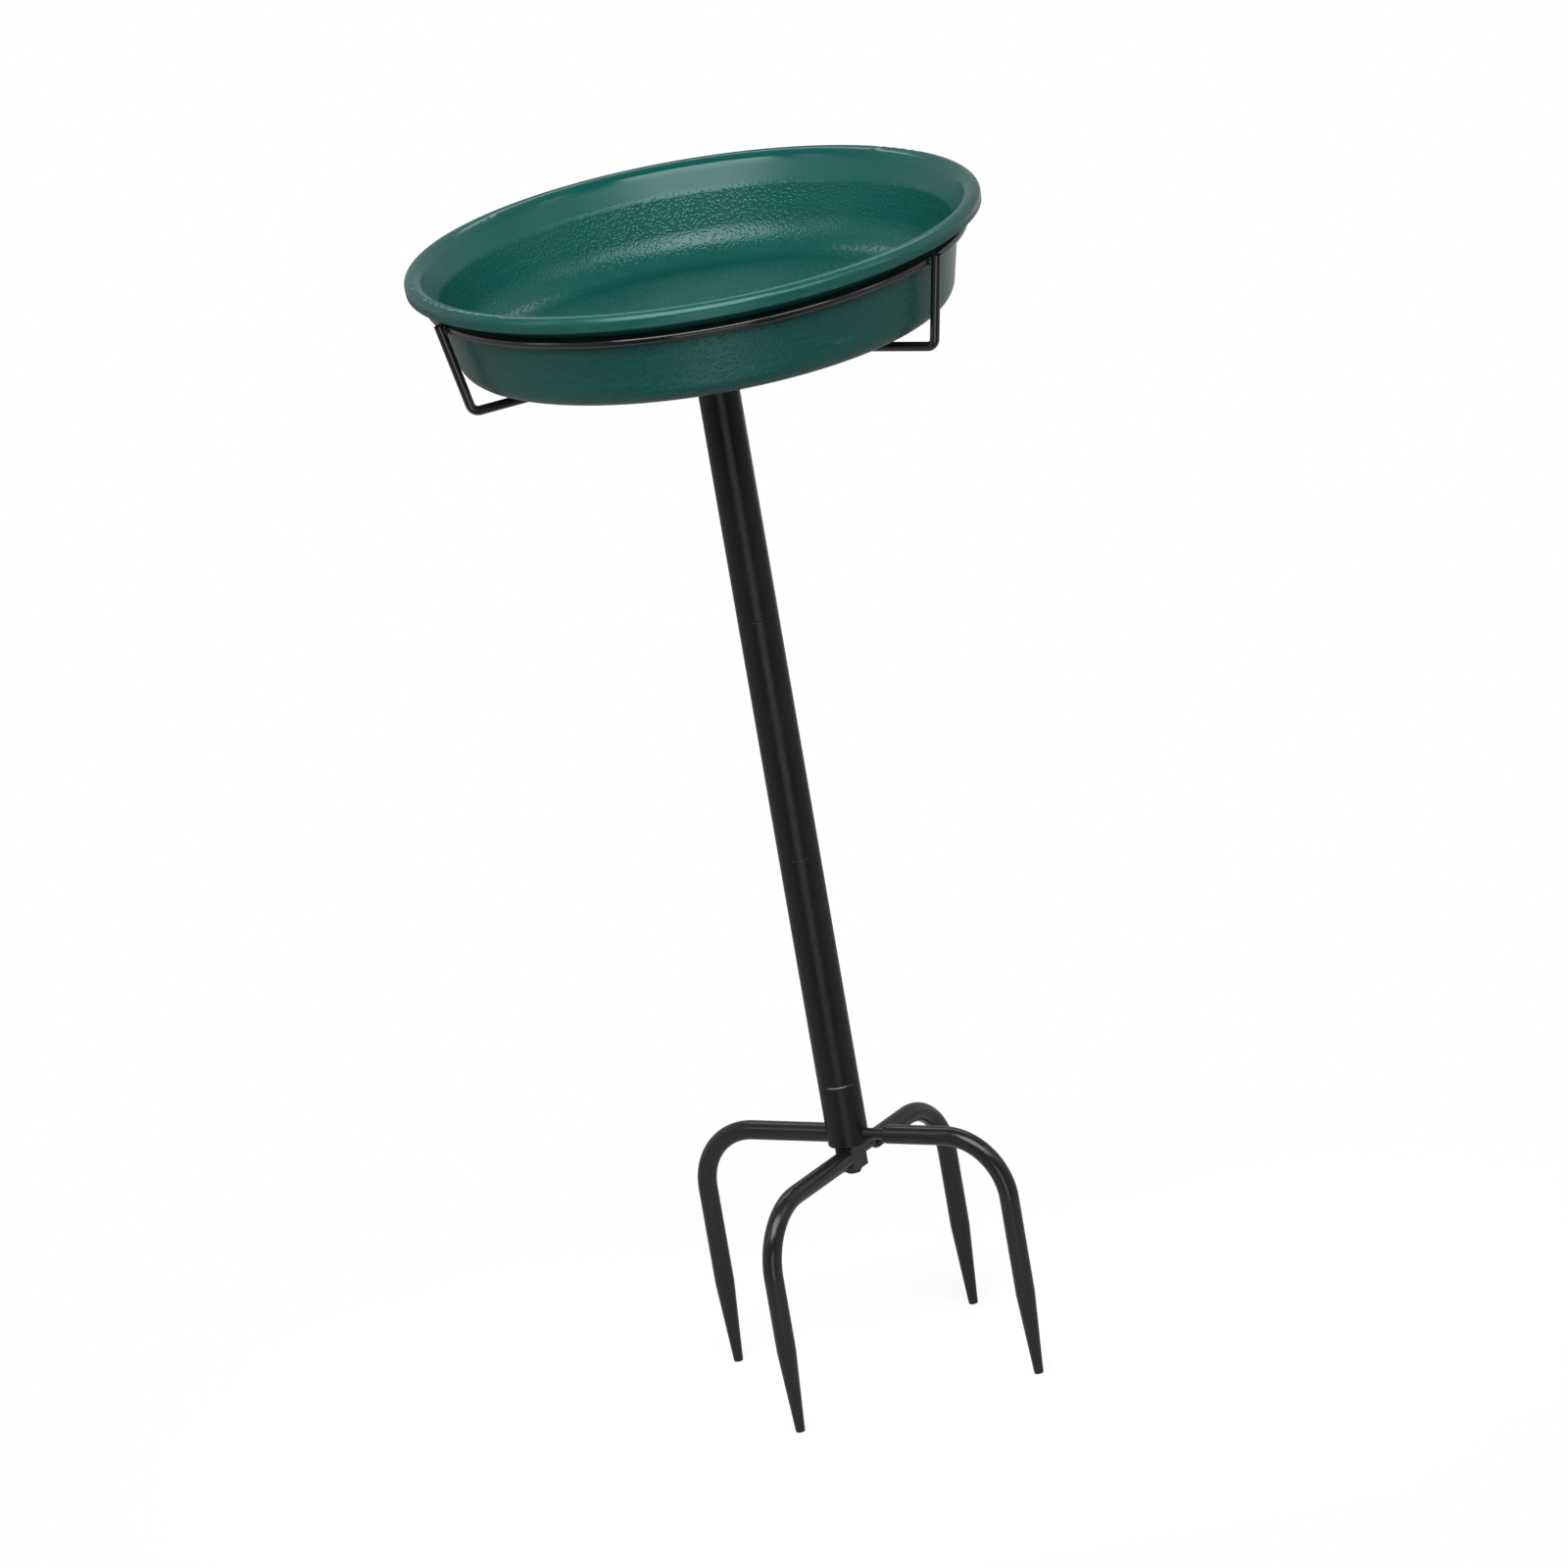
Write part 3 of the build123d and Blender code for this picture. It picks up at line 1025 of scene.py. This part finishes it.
        # Each limit is a share of a direction of length 1.
        side_start, side_end = 0.4, 0.9
        wall_start, wall_end = -0.3, 0.6
        way = add_node(tree, "ShaderNodeTexCoord").outputs["Generated"]
        split = add_node(tree, "ShaderNodeSeparateXYZ", {0: way}).outputs
        aside = add_node(tree, "ShaderNodeMath", {0: split["X"]}, operation="ABSOLUTE")
        beside = add_node(
            tree,
            "ShaderNodeMapRange",
            {"Value": aside.outputs[0], "From Min": side_start, "From Max": side_end},
            interpolation_type="SMOOTHSTEP",
        )
        behind = add_node(
            tree,
            "ShaderNodeMapRange",
            {"Value": split["Y"], "From Min": wall_start, "From Max": wall_end},
            interpolation_type="SMOOTHSTEP",
        )
        rays = add_node(tree, "ShaderNodeLightPath").outputs
        mirrored = add_node(
            tree,
            "ShaderNodeMath",
            {0: rays["Is Glossy Ray"], 1: rays["Is Transmission Ray"]},
            operation="ADD",
        )
        dimmed = add_node(
            tree, "ShaderNodeMath", {0: behind.outputs[0], 1: stage.surround_level}, operation="MULTIPLY"
        )
        mirrored = add_node(
            tree, "ShaderNodeMath", {0: mirrored.outputs[0], 1: dimmed.outputs[0]}, operation="MULTIPLY"
        )
        seen = add_node(
            tree,
            "ShaderNodeMath",
            {0: rays["Is Camera Ray"], 1: mirrored.outputs[0]},
            operation="ADD",
            use_clamp=True,
        )
        level = add_node(
            tree,
            "ShaderNodeMapRange",
            {"Value": behind.outputs[0], "To Min": stage.room_level, "To Max": stage.surround_level},
        )
        level = add_node(
            tree,
            "ShaderNodeMath",
            {0: beside.outputs[0], 1: stage.side_level, 2: level.outputs[0]},
            operation="MULTIPLY_ADD",
        )
        room = add_node(tree, "ShaderNodeBackground", {"Color": WHITE, "Strength": level.outputs[0]})
        wall = add_node(tree, "ShaderNodeBackground", {"Color": WHITE, "Strength": 1.0})
        both = add_node(
            tree,
            "ShaderNodeMixShader",
            {0: seen.outputs[0], 1: room.outputs[0], 2: wall.outputs[0]},
        )
        add_node(tree, "ShaderNodeOutputWorld", {"Surface": both.outputs[0]})

    def add_camera(self, stage):
        """The camera of the photograph: above the dish, far off and rolled."""
        elevation, roll = stage.camera_elevation, stage.camera_roll
        forwards = Vector((0.0, cos(elevation), -sin(elevation)))
        level = Vector((1.0, 0.0, 0.0))
        upright = level.cross(forwards)
        across = level * cos(roll) - upright * sin(roll)
        up = level * sin(roll) + upright * cos(roll)
        lens = bpy.data.cameras.new("camera")
        lens.lens = stage.camera_lens
        lens.sensor_width = 36.0
        lens.shift_x, lens.shift_y = stage.camera_shift
        camera = bpy.data.objects.new("camera", lens)
        turn = Matrix((across, up, -forwards)).transposed().to_4x4()
        spot = Vector(stage.camera_target) - forwards * stage.camera_distance
        camera.matrix_world = Matrix.Translation(spot) @ turn
        bpy.context.scene.collection.objects.link(camera)
        bpy.context.scene.camera = camera

    def execute(self, context):
        stage = context.scene.feeder_stage
        context.scene.view_settings.view_transform = "Standard"
        self.add_floor(stage)
        self.add_light("key_box", stage.key_power, KEY_SIZE, KEY_SPOT)
        self.add_light("low_box", stage.low_power, LOW_SIZE, LOW_SPOT)
        self.add_light("back_box", stage.back_power, BACK_SIZE, BACK_SPOT)
        self.add_light("left_strip", stage.strip_power, STRIP_SIZE, LEFT_STRIP_SPOT)
        self.add_light("right_strip", stage.strip_power, STRIP_SIZE, RIGHT_STRIP_SPOT)
        self.add_light("front_card", stage.card_power, CARD_SIZE, CARD_SPOT, POLE_POINT)
        self.add_surround(stage)
        self.add_camera(stage)
        return {"FINISHED"}


class FEEDER_PT_panel(Panel):
    """The pieces of the feeder and its stage"""

    bl_idname = "FEEDER_PT_panel"
    bl_label = "Feeder"
    bl_space_type = "VIEW_3D"
    bl_region_type = "UI"
    bl_category = "Feeder"

    def draw(self, context):
        for operator in OPERATORS:
            self.layout.operator(operator.bl_idname)


GROUPS = {
    "feeder_finishes": FeederFinishes,
    "feeder_welds": FeederWelds,
    "feeder_stage": FeederStage,
}
OPERATORS = (
    FEEDER_OT_dish,
    FEEDER_OT_pole,
    FEEDER_OT_prongs,
    FEEDER_OT_cradle,
    FEEDER_OT_clamp,
    FEEDER_OT_welds,
    FEEDER_OT_stage,
)


def register():
    for group in GROUPS.values():
        bpy.utils.register_class(group)
    for name, group in GROUPS.items():
        setattr(bpy.types.Scene, name, PointerProperty(type=group))
    for operator in OPERATORS:
        bpy.utils.register_class(operator)
    bpy.utils.register_class(FEEDER_PT_panel)


def unregister():
    bpy.utils.unregister_class(FEEDER_PT_panel)
    for operator in reversed(OPERATORS):
        bpy.utils.unregister_class(operator)
    for name, group in GROUPS.items():
        delattr(bpy.types.Scene, name)
        bpy.utils.unregister_class(group)


def main():
    register()
    bpy.ops.feeder.dish()
    bpy.ops.feeder.pole()
    bpy.ops.feeder.prongs()
    bpy.ops.feeder.cradle()
    bpy.ops.feeder.clamp()
    bpy.ops.feeder.welds()
    bpy.ops.feeder.stage()


if __name__ == "__main__":
    main()
